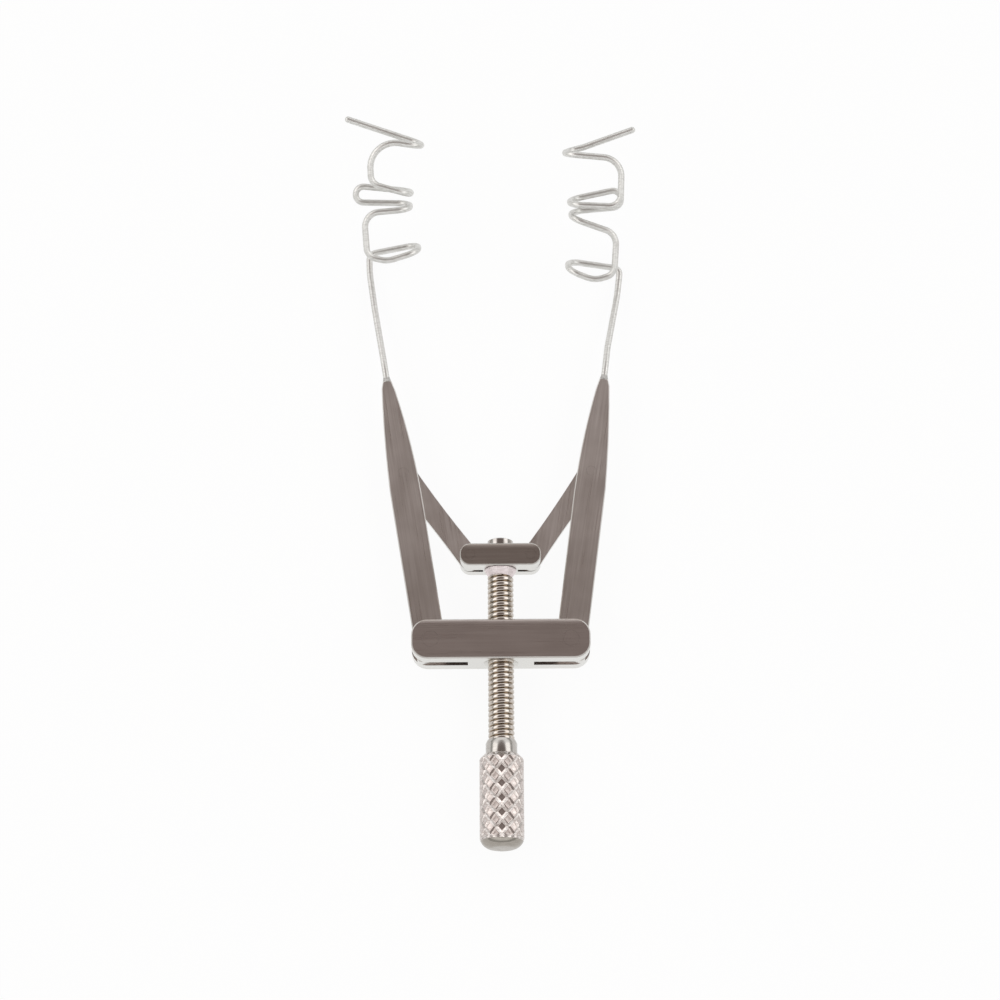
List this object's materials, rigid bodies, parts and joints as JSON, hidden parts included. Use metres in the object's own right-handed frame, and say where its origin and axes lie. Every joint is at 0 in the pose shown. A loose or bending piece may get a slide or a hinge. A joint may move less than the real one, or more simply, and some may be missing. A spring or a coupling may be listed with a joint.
{
  "type": "eye speculum",
  "caption": "Screw-adjusted eye speculum: a knurled thumb knob spreads two flat arms whose bent wire blades hook round the eyelids and hold them apart.",
  "frame": {"origin": "centre of the lower crossbar's back face, on which the instrument lies in the picture", "axes": "+X across the instrument to its right arm, +Y along the screw from the knob towards the blades, +Z from the back face up to the side seen in the picture, which faces the eye in use"},
  "size_m": [0.03, 0.0758, 0.0113],
  "materials": {
    "crossbar_steel": "satin-brushed stainless steel, warm grey, with light broken edges",
    "plate_steel": "satin-brushed stainless steel plate with polished bevels at the tips",
    "pin_steel": "stainless steel pin, ground flush and brushed with its plate",
    "screw_steel": "bright turned stainless steel with a fine thread",
    "knob_steel": "bright turned stainless steel with a diamond knurl and a plain rounded end",
    "wire_steel": "polished round stainless steel wire",
    "solder": "small dull grey cone of silver solder where the wire enters the arm"
  },
  "bodies": {
    "lower_crossbar": {"lower_crossbar": "crossbar_steel", "arm_pivot_pin_left": "pin_steel", "arm_pivot_pin_right": "pin_steel"},
    "upper_crossbar": {"upper_crossbar": "crossbar_steel", "link_pin_left": "pin_steel", "link_pin_right": "pin_steel"},
    "screw": {"adjusting_screw": "screw_steel", "thrust_collar": "screw_steel", "end_cap": "screw_steel", "thumb_knob": "knob_steel"},
    "arm_left": {"arm_left": "plate_steel", "link_rivet_left": "pin_steel", "wire_blade_left": "wire_steel", "solder_left": "solder"},
    "link_left": {"link_left": "plate_steel"},
    "arm_right": {"arm_right": "plate_steel", "link_rivet_right": "pin_steel", "wire_blade_right": "wire_steel", "solder_right": "solder"},
    "link_right": {"link_right": "plate_steel"}
  },
  "joints": [
    {"name": "crossbar_travel", "type": "slide", "parent": "lower_crossbar", "child": "upper_crossbar", "axis": [0, 1, 0], "range_m": [-0.00138, 0.00124]},
    {"name": "knob_turn", "type": "hinge", "parent": "upper_crossbar", "child": "screw", "pos_m": [0, 0, 0.00205], "axis": [0, 1, 0], "range_deg": [-938.8, 842.4]},
    {"name": "arm_left_swing", "type": "hinge", "parent": "lower_crossbar", "child": "arm_left", "pos_m": [-0.007, 0, 0.00205], "axis": [0, 0, 1], "range_deg": [-7.81, 7.01]},
    {"name": "link_left_swing", "type": "hinge", "parent": "arm_left", "child": "link_left", "pos_m": [-0.0098, 0.01806, 0.00205], "axis": [0, 0, 1], "range_deg": [-7.3, 6.55]},
    {"name": "arm_right_swing", "type": "hinge", "parent": "lower_crossbar", "child": "arm_right", "pos_m": [0.007, 0, 0.00205], "axis": [0, 0, 1], "range_deg": [-7.01, 7.81]},
    {"name": "link_right_swing", "type": "hinge", "parent": "arm_right", "child": "link_right", "pos_m": [0.00929, 0.01814, 0.00205], "axis": [0, 0, 1], "range_deg": [-6.55, 7.3]}
  ],
  "couplings": [
    {"joint": "knob_turn", "follows": "crossbar_travel", "rad_per_m": 11855},
    {"joint": "arm_left_swing", "follows": "crossbar_travel", "rad_per_m": 98.522},
    {"joint": "link_left_swing", "follows": "crossbar_travel", "rad_per_m": 92.118},
    {"joint": "arm_right_swing", "follows": "crossbar_travel", "rad_per_m": -98.522},
    {"joint": "link_right_swing", "follows": "crossbar_travel", "rad_per_m": -92.118}
  ]
}
